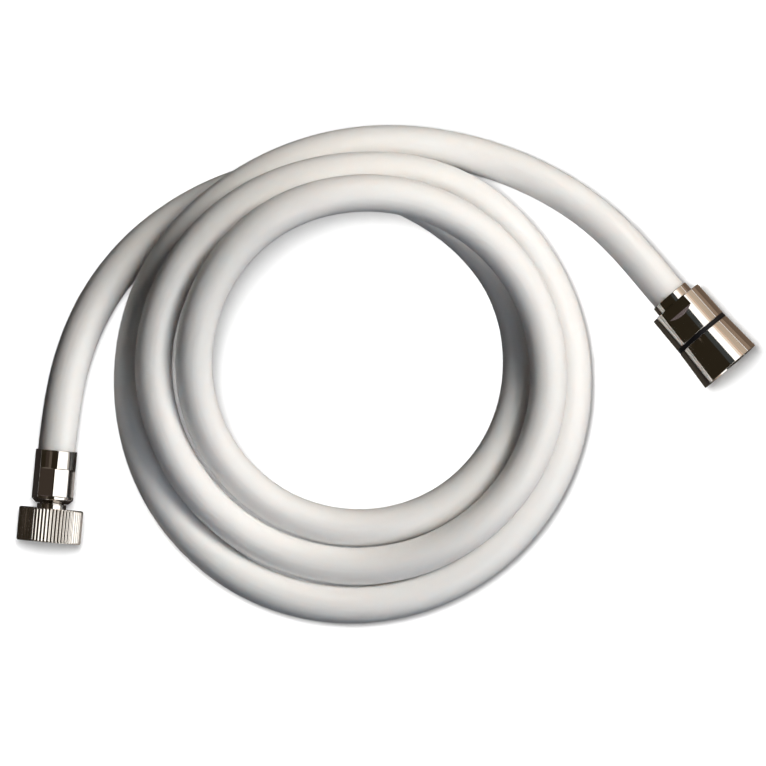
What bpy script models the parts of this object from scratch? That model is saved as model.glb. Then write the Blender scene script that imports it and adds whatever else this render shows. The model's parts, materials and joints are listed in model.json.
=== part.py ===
"""A coiled PVC shower hose with a knurled nut on one end and a conical nut on the other.

The hose lies flat on its surface, with +Z up and the origin below the middle of its outline.
Each end has an insert with a barbed tail in the hose's bore, a crimped ferrule over the hose, a nut
that turns freely on the insert, and a sealing washer. Sizes are in metres.
"""
import math

import bmesh
import bpy
import numpy as np
from mathutils import Matrix, Vector

MM = 0.001
GAP = 0.3 * MM  # room between pieces that touch
CUT_ROOM = 2.0 * MM  # how far a cutter reaches past what it cuts

# The hose
HOSE_DIAMETER = 14.0 * MM
HOSE_WALL = 3.0 * MM
HOSE_SIDES = 12
CRIMP_SQUEEZE = 1.1 * MM  # how much the crimp takes off the hose's diameter
COIL_CENTRE = Vector((-10.0 * MM, 1.25 * MM, 0.0))
SECTIONS_PER_TURN = 20  # of the tube, at the same angles on every turn
MOUTH_RUN = 0.5 * MM  # straight run of hose past a ferrule's mouth

# The hose's centre line as it was laid by hand: angle in degrees, radius and height in millimetres
LEFT_TAIL = [(190, 114.5, 11.6), (180, 109.2, 9.2), (165, 102.1, 7.2), (150, 94.7, 7.0), (135, 87.5, 7.0),
             (120, 81.5, 7.0), (105, 76.2, 7.0), (90, 71.7, 7.0), (75, 68.1, 7.0), (60, 65.7, 7.0)]
RIGHT_TAIL = [(-1035, 100.2, 7.1), (-1050, 108.7, 8.3)]

# The coil between the tails: radius and height in millimetres at every station, clockwise from FIRST_STATION
FIRST_STATION = 30
STATION_STEP = 30
COIL_STATIONS = [
    (63.4, 7.0), (61.1, 7.0), (60.0, 7.0), (59.2, 7.0), (58.7, 7.0), (59.2, 9.5),
    (60.4, 17.0), (61.9, 29.0), (63.8, 39.5), (65.7, 45.4), (67.0, 43.0), (68.7, 35.0),
    (70.4, 26.0), (71.3, 20.3), (72.3, 17.5), (72.8, 14.2), (73.2, 9.0), (74.0, 9.5),
    (75.5, 16.5), (77.2, 23.5), (77.2, 31.4), (75.8, 35.2), (75.7, 28.3), (78.5, 14.8),
    (79.2, 8.0), (80.6, 7.0), (83.0, 7.0), (85.5, 7.0), (87.7, 7.0), (88.6, 7.0),
    (87.5, 7.0), (85.3, 8.6), (83.6, 17.4), (82.3, 21.9), (85.3, 15.4), (93.2, 7.5)]

# Both ends: the insert that the nut turns on
INSERT_BORE = 4.6 * MM
FLANGE_ROOM = 0.4 * MM  # between the flange and the thread round it
FLANGE_LENGTH = 2.0 * MM
NECK_DIAMETER = 11.0 * MM
NECK_SHOWING = 2.0 * MM  # between the nut and the ferrule
SEAT_DIAMETER = 9.2 * MM  # where the ferrule's base sits
TAIL_LENGTH = 16.0 * MM
BARB_COUNT = 4
BARB_DEPTH = 0.4 * MM
BARB_STEP = 0.15 * MM  # length of each barb's steep side
INSERT_STEPS = 32

# Both ends: the ferrule
FERRULE_LENGTH = 20.0 * MM
FERRULE_DIAMETER = 15.6 * MM
FERRULE_BASE = 1.2 * MM
FERRULE_CHAMFER = 1.6 * MM
FERRULE_WALL = 0.5 * MM
CRIMP_FLATS = 14.6 * MM  # across two opposite flats of the crimp
CRIMP_SIDES = 8
CRIMP_SLOPE = 1.2 * MM  # length over which each end of a flat runs out
COLLAR_LENGTH = 5.8 * MM  # round part at the mouth of the left ferrule
MOUTH_LENGTH = 2.4 * MM  # round part at the mouth of the right ferrule
FERRULE_STEPS = 48

# Both ends: the pipe thread and the washer
THREAD_MINOR = 18.6 * MM
WASHER_HOLE = 9.8 * MM
WASHER_THICKNESS = 2.0 * MM
SOCKET_DEPTH = 6.0 * MM  # free depth in front of the washer
SOCKET_CHAMFER = 0.6 * MM
WASHER_STEPS = 32

# Left nut
KNURL_DIAMETER = 24.2 * MM
KNURL_RIBS = 56
KNURL_DEPTH = 0.45 * MM
KNURL_CHAMFER = 0.5 * MM
KNURL_EDGE = 0.7 * MM  # length of the chamfer along the nut
KNURL_LENGTH = 12.7 * MM
KNURL_STEPS = 48  # of the socket

# Right nut
CONE_LENGTH = 31.6 * MM
CONE_FRONT_DIAMETER = 24.75 * MM
CONE_WAIST_DIAMETER = 22.4 * MM
CONE_REAR_DIAMETER = 21.9 * MM
CONE_EDGE = 0.3 * MM
CONE_SHOULDER = 4.0 * MM  # wall that the flange bears on
RING_FROM_REAR = 15.0 * MM
RING_WIDTH = 1.9 * MM
RING_DEPTH = 1.0 * MM
RING_SLACK = 0.1 * MM  # room on each side of the ring
SPANNER_FLATS = 19.4 * MM
SPANNER_LENGTH = 4.1 * MM  # from the rear face to where the flat starts to slope out
SPANNER_TURN = 6.5  # degrees that the flats are turned about the nut's axis
CONE_STEPS = 56

# Where the ends lie: middle of each nut's front face from the coil's centre, and the way back to the hose
LEFT_FRONT = (-117.0 * MM, -64.1 * MM)
LEFT_HEADING = 84.8  # degrees from +X
RIGHT_FRONT = (139.8 * MM, 2.0 * MM)
RIGHT_HEADING = 130.5
RIGHT_TILT = 2.4  # degrees that the conical nut's axis falls towards the hose

# Worked out from the sizes above
SAMPLE_ANGLE = 360 / SECTIONS_PER_TURN
HOSE_RADIUS = HOSE_DIAMETER / 2
CRIMPED_RADIUS = HOSE_RADIUS - CRIMP_SQUEEZE / 2
TAIL_RADIUS = CRIMPED_RADIUS - HOSE_WALL - GAP
FLANGE_DIAMETER = THREAD_MINOR - 2 * FLANGE_ROOM
WASHER_DIAMETER = THREAD_MINOR - 2 * GAP
FLANGE_FRONT = SOCKET_DEPTH + WASHER_THICKNESS + GAP
FLANGE_BACK = FLANGE_FRONT + FLANGE_LENGTH
KNURL_FERRULE_FRONT = KNURL_LENGTH + NECK_SHOWING
CONE_FERRULE_FRONT = FLANGE_BACK + GAP + CONE_SHOULDER + 2 * GAP
COLOURS = {"hose": "F1EFEC", "chrome": "C9C6C2", "ring": "17171B", "washer": "4A4A4C"}

parts = bpy.data.collections.new("pvc_hose")
cutters = bpy.data.collections.new("cutters")


def clear_scene():
    for thing in list(bpy.data.objects):
        bpy.data.objects.remove(thing, do_unlink=True)
    for group in (parts, cutters):
        bpy.context.scene.collection.children.link(group)


def material(name, colour, roughness, metallic):
    """A Principled material in an sRGB hex colour."""
    made = bpy.data.materials.new(name)
    made.use_nodes = True
    shader = made.node_tree.nodes["Principled BSDF"]
    channels = [int(colour[i:i + 2], 16) / 255 for i in (0, 2, 4)]
    linear = [c / 12.92 if c <= 0.04045 else ((c + 0.055) / 1.055) ** 2.4 for c in channels]
    shader.inputs["Base Color"].default_value = (*linear, 1.0)
    shader.inputs["Roughness"].default_value = roughness
    shader.inputs["Metallic"].default_value = metallic
    return made


def as_cutter(thing):
    thing.hide_render = True
    thing.display_type = "WIRE"
    return thing


def fitting(name, front, height, heading, tilt):
    """An empty at the middle of a nut's front face, whose +Z runs back towards the hose."""
    empty = bpy.data.objects.new(name, None)
    parts.objects.link(empty)
    level = math.radians(heading)
    fall = math.radians(tilt)
    back = Vector((math.cos(level) * math.cos(fall), math.sin(level) * math.cos(fall), -math.sin(fall)))
    side = Vector((-math.sin(level), math.cos(level), 0.0))
    turn = Matrix((side, back.cross(side), back)).transposed()
    place = COIL_CENTRE + Vector((front[0], front[1], height))
    empty.matrix_world = Matrix.Translation(place) @ turn.to_4x4()
    return empty


def turned(name, profile, steps, parent, group=parts):
    """A solid turned about its parent's Z: (radius, place) points, down its outside and back up its bore."""
    mesh = bpy.data.meshes.new(name)
    points = [(radius, 0.0, place) for radius, place in profile]
    edges = [(i, (i + 1) % len(points)) for i in range(len(points))]
    mesh.from_pydata(points, edges, [])
    thing = bpy.data.objects.new(name, mesh)
    group.objects.link(thing)
    thing.parent = parent
    screw = thing.modifiers.new("Turned", "SCREW")
    screw.axis = "Z"
    screw.steps = steps
    screw.render_steps = steps
    screw.use_merge_vertices = True
    screw.merge_threshold = 0.00001
    return thing


def combined(thing, other, operation):
    step = thing.modifiers.new(operation.title(), "BOOLEAN")
    step.operation = operation
    step.solver = "EXACT"
    step.object = other


def insert(name, parent, ferrule_front, finish):
    """The stem that the nut turns on: flange, neck, seat for the ferrule, and the barbed tail in the hose."""
    seat = ferrule_front - GAP
    tail = ferrule_front + FERRULE_BASE + GAP
    end = tail + TAIL_LENGTH
    pitch = TAIL_LENGTH / (BARB_COUNT + 1)
    profile = [(INSERT_BORE / 2, end), (TAIL_RADIUS - BARB_DEPTH, end)]
    for k in range(BARB_COUNT):
        back = end - (k + 1) * pitch
        profile += [(TAIL_RADIUS, back), (TAIL_RADIUS - BARB_DEPTH, back - BARB_STEP)]
    profile += [(TAIL_RADIUS - BARB_DEPTH, tail), (SEAT_DIAMETER / 2, tail), (SEAT_DIAMETER / 2, seat),
                (NECK_DIAMETER / 2, seat), (NECK_DIAMETER / 2, FLANGE_BACK),
                (FLANGE_DIAMETER / 2, FLANGE_BACK), (FLANGE_DIAMETER / 2, FLANGE_FRONT),
                (INSERT_BORE / 2, FLANGE_FRONT)]
    turned(name, profile, INSERT_STEPS, parent).data.materials.append(finish)


def ferrule(name, parent, front, collar, finish):
    """A thin turned cup over the end of the hose, crimped to eight flats up to its round mouth."""
    back = front + FERRULE_LENGTH
    outer = FERRULE_DIAMETER / 2
    crimped = CRIMPED_RADIUS + GAP
    mouth = max(HOSE_RADIUS + GAP, outer - FERRULE_WALL)
    hole = SEAT_DIAMETER / 2 + GAP
    neck_down = back - collar
    profile = [(mouth, back), (outer, back), (outer, front + FERRULE_CHAMFER),
               (outer - FERRULE_CHAMFER, front), (hole, front), (hole, front + FERRULE_BASE),
               (crimped, front + FERRULE_BASE), (crimped, neck_down), (mouth, neck_down + CRIMP_SLOPE)]
    cup = turned(name, profile, FERRULE_STEPS, parent)
    cup.data.materials.append(finish)
    flat = CRIMP_FLATS / 2 / math.cos(math.pi / CRIMP_SIDES)
    clear = flat + CUT_ROOM
    start = front + FERRULE_CHAMFER + CRIMP_SLOPE
    crimp = [(clear, back + CUT_ROOM), (clear, back - collar), (flat, back - collar - CRIMP_SLOPE),
             (flat, start), (clear, start - CRIMP_SLOPE), (clear, front - CUT_ROOM),
             (0.0, front - CUT_ROOM), (0.0, back + CUT_ROOM)]
    keeper = as_cutter(turned(name + "_crimp", crimp, CRIMP_SIDES, parent, cutters))
    combined(cup, keeper, "INTERSECT")


def washer(name, parent, finish):
    top = FLANGE_FRONT - GAP
    inner = WASHER_HOLE / 2
    outer = WASHER_DIAMETER / 2
    profile = [(inner, top), (outer, top), (outer, top - WASHER_THICKNESS), (inner, top - WASHER_THICKNESS)]
    turned(name, profile, WASHER_STEPS, parent).data.materials.append(finish)


def knurled_nut(parent, finish):
    """A short nut with straight ribs: a turned blank with its socket, kept only inside the ribbed outline."""
    socket = THREAD_MINOR / 2
    hole = NECK_DIAMETER / 2 + GAP
    tip = KNURL_DIAMETER / 2 + GAP
    edge = KNURL_DIAMETER / 2 - KNURL_CHAMFER
    wall = FLANGE_BACK + GAP
    profile = [(hole, KNURL_LENGTH), (edge, KNURL_LENGTH), (tip, KNURL_LENGTH - KNURL_EDGE),
               (tip, KNURL_EDGE), (edge, 0.0), (socket + SOCKET_CHAMFER, 0.0), (socket, SOCKET_CHAMFER),
               (socket, wall), (hole, wall)]
    nut = turned("knurled_nut", profile, KNURL_STEPS, parent)
    nut.data.materials.append(finish)
    outline = bpy.data.curves.new("knurl", "CURVE")
    outline.dimensions = "2D"
    outline.fill_mode = "BOTH"
    outline.extrude = KNURL_LENGTH / 2 + CUT_ROOM
    ring = outline.splines.new("POLY")
    ring.points.add(2 * KNURL_RIBS - 1)
    ring.use_cyclic_u = True
    for i, point in enumerate(ring.points):
        radius = KNURL_DIAMETER / 2 - (i % 2) * KNURL_DEPTH
        angle = math.pi * i / KNURL_RIBS
        point.co = (radius * math.cos(angle), radius * math.sin(angle), 0.0, 1.0)
    drawn = bpy.data.objects.new("knurl_outline", outline)
    cutters.objects.link(drawn)
    mesh = bpy.data.meshes.new_from_object(drawn.evaluated_get(bpy.context.evaluated_depsgraph_get()))
    bpy.data.objects.remove(drawn)
    work = bmesh.new()
    work.from_mesh(mesh)
    bmesh.ops.remove_doubles(work, verts=work.verts, dist=0.00001)
    bmesh.ops.recalc_face_normals(work, faces=work.faces)
    work.to_mesh(mesh)
    work.free()
    keeper = as_cutter(bpy.data.objects.new("knurl_ribs", mesh))
    cutters.objects.link(keeper)
    keeper.parent = parent
    keeper.location = (0.0, 0.0, KNURL_LENGTH / 2)
    combined(nut, keeper, "INTERSECT")


def cone_outside(place):
    """Outer radius of the conical nut along it: flared in front of the ring, nearly straight behind."""
    waist = CONE_LENGTH - RING_FROM_REAR
    if place < waist:
        return (CONE_FRONT_DIAMETER + (CONE_WAIST_DIAMETER - CONE_FRONT_DIAMETER) * place / waist) / 2
    share = (place - waist) / RING_FROM_REAR
    return (CONE_WAIST_DIAMETER + (CONE_REAR_DIAMETER - CONE_WAIST_DIAMETER) * share) / 2


def spanner_mill(parent):
    """What a milling cutter takes off the nut for one flat, with the slope that it leaves at the end."""
    rise = CONE_WAIST_DIAMETER / 2
    depth = SPANNER_FLATS / 2
    foot = CONE_LENGTH - SPANNER_LENGTH
    outline = [(depth, foot), (depth + rise, foot - rise), (depth + rise, CONE_LENGTH + CUT_ROOM),
               (depth, CONE_LENGTH + CUT_ROOM)]
    points = [(across, up, place) for across in (-rise - CUT_ROOM, rise + CUT_ROOM) for up, place in outline]
    faces = [(3, 2, 1, 0), (4, 5, 6, 7), (1, 5, 4, 0), (2, 6, 5, 1), (3, 7, 6, 2), (0, 4, 7, 3)]
    mesh = bpy.data.meshes.new("spanner_mill")
    mesh.from_pydata(points, [], faces)
    mill = bpy.data.objects.new("spanner_mill", mesh)
    cutters.objects.link(mill)
    mill.parent = parent
    return mill


def cone_nut(parent, finish):
    """A long nut in one piece: a groove for the ring, two spanner flats, a hollow for the ferrule."""
    socket = THREAD_MINOR / 2
    hole = NECK_DIAMETER / 2 + GAP
    hollow = FERRULE_DIAMETER / 2 + GAP
    wall = FLANGE_BACK + GAP
    shoulder = wall + CONE_SHOULDER
    ring_back = CONE_LENGTH - RING_FROM_REAR + RING_WIDTH / 2
    ring_front = ring_back - RING_WIDTH
    groove = cone_outside(ring_back) - RING_DEPTH
    profile = [(hollow, CONE_LENGTH), (cone_outside(CONE_LENGTH) - CONE_EDGE, CONE_LENGTH),
               (cone_outside(CONE_LENGTH), CONE_LENGTH - CONE_EDGE), (cone_outside(ring_back), ring_back),
               (groove, ring_back), (groove, ring_front), (cone_outside(ring_front), ring_front),
               (cone_outside(CONE_EDGE), CONE_EDGE), (cone_outside(0.0) - CONE_EDGE, 0.0),
               (socket + SOCKET_CHAMFER, 0.0), (socket, SOCKET_CHAMFER), (socket, wall), (hole, wall),
               (hole, shoulder), (hollow, shoulder)]
    nut = turned("cone_nut", profile, CONE_STEPS, parent)
    nut.data.materials.append(finish)
    for turn in (0.0, math.pi):
        mill = as_cutter(spanner_mill(parent))
        mill.rotation_euler = (0.0, 0.0, turn - math.radians(SPANNER_TURN))
        combined(nut, mill, "DIFFERENCE")


def grip_ring(parent, finish):
    back = CONE_LENGTH - RING_FROM_REAR + RING_WIDTH / 2 - RING_SLACK
    front = back - RING_WIDTH + 2 * RING_SLACK
    outer = cone_outside(back)
    inner = outer - RING_DEPTH + GAP
    profile = [(inner, back), (outer, back), (outer, front), (inner, front)]
    turned("grip_ring", profile, CONE_STEPS, parent).data.materials.append(finish)


def route_points(left, right):
    """Points of the hose's centre line, from the left ferrule's mouth to the right one's."""
    stations = list(LEFT_TAIL)
    for k, (radius, height) in enumerate(COIL_STATIONS):
        stations.append((FIRST_STATION - STATION_STEP * k, radius, height))
    stations += RIGHT_TAIL
    points = [left]
    for angle, radius, height in stations:
        turn = math.radians(angle)
        flat = Vector((radius * math.cos(turn), radius * math.sin(turn), height)) * MM
        points.append(COIL_CENTRE + flat)
    points.append(right)
    return np.array([tuple(p) for p in points])


def smooth_curve(points, first, last, share=24):
    """A curve of even bending through the points, with its direction given at both ends."""
    steps = np.linalg.norm(np.diff(points, axis=0), axis=1)
    count = len(points)
    rows = np.zeros((count, count))
    sums = np.zeros((count, 3))
    rows[0, 0] = rows[-1, -1] = 1.0
    sums[0] = first
    sums[-1] = last
    for i in range(1, count - 1):
        before, after = steps[i - 1], steps[i]
        rows[i, i - 1:i + 2] = after, 2 * (before + after), before
        rise = points[i + 1] - points[i]
        sums[i] = 3 * (after / before * (points[i] - points[i - 1]) + before / after * rise)
    slopes = np.linalg.solve(rows, sums)
    curve = []
    for i in range(count - 1):
        for u in np.arange(share) / share:
            curve.append((1 + 2 * u) * (1 - u) ** 2 * points[i] + u * (1 - u) ** 2 * steps[i] * slopes[i]
                         + u * u * (3 - 2 * u) * points[i + 1] + u * u * (u - 1) * steps[i] * slopes[i + 1])
    curve.append(points[-1])
    return np.array(curve)


def sections_on(curve):
    """The curve's points at every SAMPLE_ANGLE about the coil, so that the sections of all turns line up."""
    across = curve - np.array(COIL_CENTRE)
    angles = np.degrees(np.unwrap(np.arctan2(across[:, 1], across[:, 0])))
    room = 0.2 * SAMPLE_ANGLE  # no section right beside a ferrule's mouth
    start = SAMPLE_ANGLE * math.floor((angles[0] - room) / SAMPLE_ANGLE)
    wanted = np.arange(start, angles[-1] + room, -SAMPLE_ANGLE)
    return np.array([[np.interp(-a, -angles, curve[:, k]) for k in range(3)] for a in wanted])


def hose(left, left_front, right, right_front, finish):
    """The tube: one extruded piece with its bore, squeezed where the ferrules grip it."""
    spline_points = []
    ends = []
    for empty, front, collar in ((left, left_front, COLLAR_LENGTH), (right, right_front, MOUTH_LENGTH)):
        place = empty.matrix_world
        mouth = front + FERRULE_LENGTH
        grip = mouth - collar
        spots = [front + FERRULE_BASE + GAP, grip, grip + CRIMP_SLOPE + GAP, mouth + MOUTH_RUN]
        ends.append([place @ Vector((0.0, 0.0, s)) for s in spots])
    back = [empty.matrix_world.to_3x3() @ Vector((0.0, 0.0, 1.0)) for empty in (left, right)]
    route = route_points(ends[0][-1], ends[1][-1])
    curve = smooth_curve(route, np.array(back[0]), -np.array(back[1]))
    curve[:, 2] = np.maximum(curve[:, 2], HOSE_RADIUS)  # the surface holds it up
    squeeze = CRIMPED_RADIUS / HOSE_RADIUS
    spline_points += zip(ends[0], (squeeze, squeeze, 1.0, 1.0))
    spline_points += [(Vector(p), 1.0) for p in sections_on(curve)]
    spline_points += zip(reversed(ends[1]), (1.0, 1.0, squeeze, squeeze))
    tube = bpy.data.curves.new("hose", "CURVE")
    tube.dimensions = "3D"
    tube.bevel_depth = HOSE_RADIUS
    tube.bevel_resolution = HOSE_SIDES // 2 - 2  # which gives that many sides
    line = tube.splines.new("POLY")
    line.points.add(len(spline_points) - 1)
    for point, (place, share) in zip(line.points, spline_points):
        point.co = (*place, 1.0)
        point.radius = share
    thing = bpy.data.objects.new("hose", tube)
    parts.objects.link(thing)
    thing.data.materials.append(finish)
    wall = thing.modifiers.new("Wall", "SOLIDIFY")
    wall.thickness = HOSE_WALL
    wall.offset = -1.0
    wall.use_even_offset = True


def shade_round():
    bpy.context.view_layer.update()
    for thing in parts.objects:
        if thing.type == "MESH":
            thing.data.shade_smooth()


def main():
    clear_scene()
    white = material("white_pvc", COLOURS["hose"], 0.35, 0.0)
    chrome = material("chrome", COLOURS["chrome"], 0.08, 1.0)
    rubber = material("rubber", COLOURS["washer"], 0.7, 0.0)
    black = material("black_ring", COLOURS["ring"], 0.5, 0.0)
    left = fitting("left_end", LEFT_FRONT, KNURL_DIAMETER / 2, LEFT_HEADING, 0.0)
    rest = CONE_FRONT_DIAMETER / 2 * math.cos(math.radians(RIGHT_TILT))
    right = fitting("right_end", RIGHT_FRONT, rest, RIGHT_HEADING, RIGHT_TILT)
    bpy.context.view_layer.update()
    insert("left_insert", left, KNURL_FERRULE_FRONT, chrome)
    ferrule("left_ferrule", left, KNURL_FERRULE_FRONT, COLLAR_LENGTH, chrome)
    washer("left_washer", left, rubber)
    knurled_nut(left, chrome)
    insert("right_insert", right, CONE_FERRULE_FRONT, chrome)
    ferrule("right_ferrule", right, CONE_FERRULE_FRONT, MOUTH_LENGTH, chrome)
    washer("right_washer", right, rubber)
    cone_nut(right, chrome)
    grip_ring(right, black)
    hose(left, KNURL_FERRULE_FRONT, right, CONE_FERRULE_FRONT, white)
    shade_round()


main()
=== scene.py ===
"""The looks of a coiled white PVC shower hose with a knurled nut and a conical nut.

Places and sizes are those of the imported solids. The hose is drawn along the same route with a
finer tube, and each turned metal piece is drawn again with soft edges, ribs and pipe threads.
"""
import json
import math

import bmesh
import bpy
import numpy as np
from mathutils import Matrix, Vector


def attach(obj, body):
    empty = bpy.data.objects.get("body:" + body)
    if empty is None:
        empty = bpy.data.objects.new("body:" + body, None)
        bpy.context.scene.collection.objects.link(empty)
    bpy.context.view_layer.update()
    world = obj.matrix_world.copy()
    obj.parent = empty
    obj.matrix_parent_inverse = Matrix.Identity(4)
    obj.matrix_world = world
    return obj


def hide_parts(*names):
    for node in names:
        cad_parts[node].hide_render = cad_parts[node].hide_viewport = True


MM = 0.001
GAP = 0.3 * MM  # room between pieces that touch

# How finely round shapes are drawn
ARC_POINTS = 7  # in each rounded edge
STEM_STEPS = 96  # round an insert or a washer
SLEEVE_STEPS = 144
NUT_STEPS = 192
RIB_POINTS = 17  # across one rib of the knurl
RIB_RINGS = (0.0, 0.15, 0.4, 0.7, 1.0)  # along a rib's run-out, as shares of it
THREAD_STEPS = 96  # along one turn
THREAD_SIDES = 24
HOSE_SIDES = 40
CURVE_STEPS = 16  # from one station of the hose to the next
SHARP_ANGLE = 18  # degrees past which two faces meet in a hard edge

# Radii of the broken and rounded edges
CONE_RIM = 0.06 * MM
SOCKET_RIM = 0.1 * MM
LIP = 0.12 * MM
FINE_EDGE = 0.15 * MM
EDGE = 0.2 * MM
SOFT_EDGE = 0.25 * MM
ROUND_EDGE = 0.3 * MM
BORE_MOUTH = 0.4 * MM

# The hose and its route, as the solids have them
HOSE_RADIUS = 7.0 * MM
HOSE_WALL = 3.0 * MM
CRIMPED_RADIUS = 6.45 * MM
COIL_CENTRE = Vector((-10.0 * MM, 1.25 * MM, 0.0))
MOUTH_RUN = 0.5 * MM
LEFT_TAIL = [(190, 114.5, 11.6), (180, 109.2, 9.2), (165, 102.1, 7.2), (150, 94.7, 7.0), (135, 87.5, 7.0),
             (120, 81.5, 7.0), (105, 76.2, 7.0), (90, 71.7, 7.0), (75, 68.1, 7.0), (60, 65.7, 7.0)]
RIGHT_TAIL = [(-1035, 100.2, 7.1), (-1050, 108.7, 8.3)]
FIRST_STATION = 30
STATION_STEP = 30
COIL_STATIONS = [
    (63.4, 7.0), (61.1, 7.0), (60.0, 7.0), (59.2, 7.0), (58.7, 7.0), (59.2, 9.5),
    (60.4, 17.0), (61.9, 29.0), (63.8, 39.5), (65.7, 45.4), (67.0, 43.0), (68.7, 35.0),
    (70.4, 26.0), (71.3, 20.3), (72.3, 17.5), (72.8, 14.2), (73.2, 9.0), (74.0, 9.5),
    (75.5, 16.5), (77.2, 23.5), (77.2, 31.4), (75.8, 35.2), (75.7, 28.3), (78.5, 14.8),
    (79.2, 8.0), (80.6, 7.0), (83.0, 7.0), (85.5, 7.0), (87.7, 7.0), (88.6, 7.0),
    (87.5, 7.0), (85.3, 8.6), (83.6, 17.4), (82.3, 21.9), (85.3, 15.4), (93.2, 7.5)]

# Both ends, in millimetres along the fitting from the nut's front face
INSERT_BORE = 4.6 * MM
FLANGE_DIAMETER = 17.8 * MM
NECK_DIAMETER = 11.0 * MM
SEAT_DIAMETER = 9.2 * MM
FLANGE_FRONT = 8.3 * MM
FLANGE_BACK = 10.3 * MM
TAIL_LENGTH = 16.0 * MM
TAIL_RADIUS = 3.15 * MM
BARB_COUNT = 4
BARB_DEPTH = 0.4 * MM
FERRULE_LENGTH = 20.0 * MM
FERRULE_DIAMETER = 15.6 * MM
FERRULE_BASE = 1.2 * MM
FERRULE_CHAMFER = 1.6 * MM
FERRULE_WALL = 0.5 * MM
CRIMP_FLATS = 14.6 * MM
CRIMP_SIDES = 8
CRIMP_SLOPE = 1.2 * MM
COLLAR_LENGTH = 5.8 * MM
MOUTH_LENGTH = 2.4 * MM
WASHER_DIAMETER = 18.0 * MM
WASHER_HOLE = 9.8 * MM
WASHER_THICKNESS = 2.0 * MM

# The pipe thread: half an inch, fourteen turns to the inch
THREAD_MINOR = 18.6 * MM
THREAD_PITCH = 25.4 / 14 * MM
THREAD_RIDGE = 0.62 * MM  # radius of the rounded ridge
THREAD_START = 0.9 * MM
THREAD_ROOM = 1.6 * MM  # of the socket's depth that the thread leaves free

# Left nut
KNURL_DIAMETER = 24.2 * MM
KNURL_LENGTH = 12.7 * MM
KNURL_RIBS = 56
RIB_DEPTH = 0.38 * MM
RIB_CHAMFER = 0.7 * MM  # length over which a rib dies away at each end
KNURL_FERRULE_FRONT = 14.7 * MM

# Right nut
CONE_LENGTH = 31.6 * MM
CONE_FRONT_DIAMETER = 24.75 * MM
CONE_WAIST_DIAMETER = 22.4 * MM
CONE_REAR_DIAMETER = 21.9 * MM
CONE_SHOULDER = 4.0 * MM
RING_FROM_REAR = 15.0 * MM
RING_WIDTH = 1.9 * MM
RING_DEPTH = 1.0 * MM
RING_SLACK = 0.1 * MM
SPANNER_FLATS = 19.4 * MM
SPANNER_LENGTH = 4.1 * MM  # to the foot of the slope that ends the flat
SPANNER_SLOPE = 41  # degrees
SPANNER_TURN = 6.5  # degrees that the flats lean about the nut's axis
CONE_FERRULE_FRONT = 15.2 * MM

# Widths of the patterns on the skins. The grains and pits are finer on the real thing, and are drawn as
# coarse as they need to show, because a pixel of the render is 0.4 mm wide.
TONE_PATCH = 22.0 * MM
DIE_LINE = 0.8 * MM
SKIN_GRAIN = 0.4 * MM
HAZE_PATCH = 6.0 * MM
KNURL_PIT = 0.4 * MM
STAIN_PATCH = 2.5 * MM
WEAR_PATCH = 1.4 * MM
RUBBER_GRAIN = 0.55 * MM

# The photograph's frame
PHOTO_SIDE = 766  # pixels
PIXELS_PER_METRE = 2650
VIEW_MIDDLE = Vector((-0.95 * MM, -2.9 * MM, 0.0))
CAMERA_HEIGHT = 6.0  # far away, so that high turns look no larger than low ones
SENSOR = 36.0
NEAREST_SEEN = 0.1
FURTHEST_SEEN = 40.0

# How the room is lit
ROOM_LIGHT = 0.03  # from all round
FLOOR_BOUNCE = "3C3A38"  # what the paper throws back at the hose
FLOOR_LIFT = 0.1  # glow of the paper near the hose; further off it glows white
FLOOR_HALF = 12.0
GLOW_STARTS = 0.25  # distance from the middle of the coil
GLOW_IS_WHITE = 0.9
ROOM_RADIUS = 9.0
CEILING = 3.1
WALL_FOOT = 0.02
WALL_BREAK = 1.4  # where the wall on the right grows pale
LOW_WALL = 0.7
# The colour of the dark glowing cards, which paint dark reflections
DARK = "352E22"

# Lamps: name, place, side in metres, watts, colour, and whether the paper is kept out of its light
# or is the only thing in it
LAMPS = [
    ("softbox", (1.76, 1.18, 2.2), 1.2, 99.0, "FFF8F0", "EXCLUDE"),
    ("window", (1.4, -1.8, 2.3), 1.7, 31.0, "E0E7F2", "EXCLUDE"),
    ("paper_lamp", (-0.11, 0.10, 1.1), 0.3, 11.5, "FFFFFF", "INCLUDE"),
    ("paper_fill", (0.0, 0.0, 2.6), 4.0, 34.0, "FFFFFF", "INCLUDE"),
]

# Level cards that the chrome mirrors, as painted reflections: name, colour, strength, height and corners in
# metres
LEVEL_CARDS = [
    ("white_panel", "FFFDFA", 2.4, 3.0, [
        (0.45, -3.0), (8.9, -3.0), (8.9, -0.1), (6.6, -0.1), (2.6, 2.55), (1.6, 3.9), (0.2, 2.1),
        (0.95, 1.28), (1.12, 0.88), (0.51, -0.1)]),
    ("cream_panel", "F3E6D8", 1.6, 3.01, [
        (6.55, -0.65), (7.6, 0.26), (3.66, 3.46), (2.66, 4.81), (1.6, 3.9), (2.6, 2.55)]),
    ("grey_panel", "4B4E4E", 1.0, 3.04, [
        (0.50, -0.1), (1.12, 0.88), (0.95, 1.28), (0.2, 2.1), (-0.6, 1.35), (-0.08, 0.735), (0.13, 0.485)]),
    ("tan_panel", "DACCBF", 1.4, 3.05, [(2.5, 2.5), (8.6, 2.6), (6.2, 6.4), (-1.0, 8.8), (1.4, 3.9)]),
    ("peach_strip", "F5BE90", 1.25, 3.02, [(6.3, 0.9), (6.75, 1.3), (1.4, 7.6), (0.95, 7.2)]),
    ("brown_glow", "4C423A", 1.0, 3.05, [(-4.6, -0.3), (-2.3, -0.2), (-2.3, 0.6), (-4.6, 0.9)]),
    ("warm_glow", "6E6459", 1.0, 3.05, [
        (-2.3, -0.15), (-1.5, -0.1), (-1.25, 0.12), (-1.25, 0.35), (-2.3, 0.6)]),
]
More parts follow.
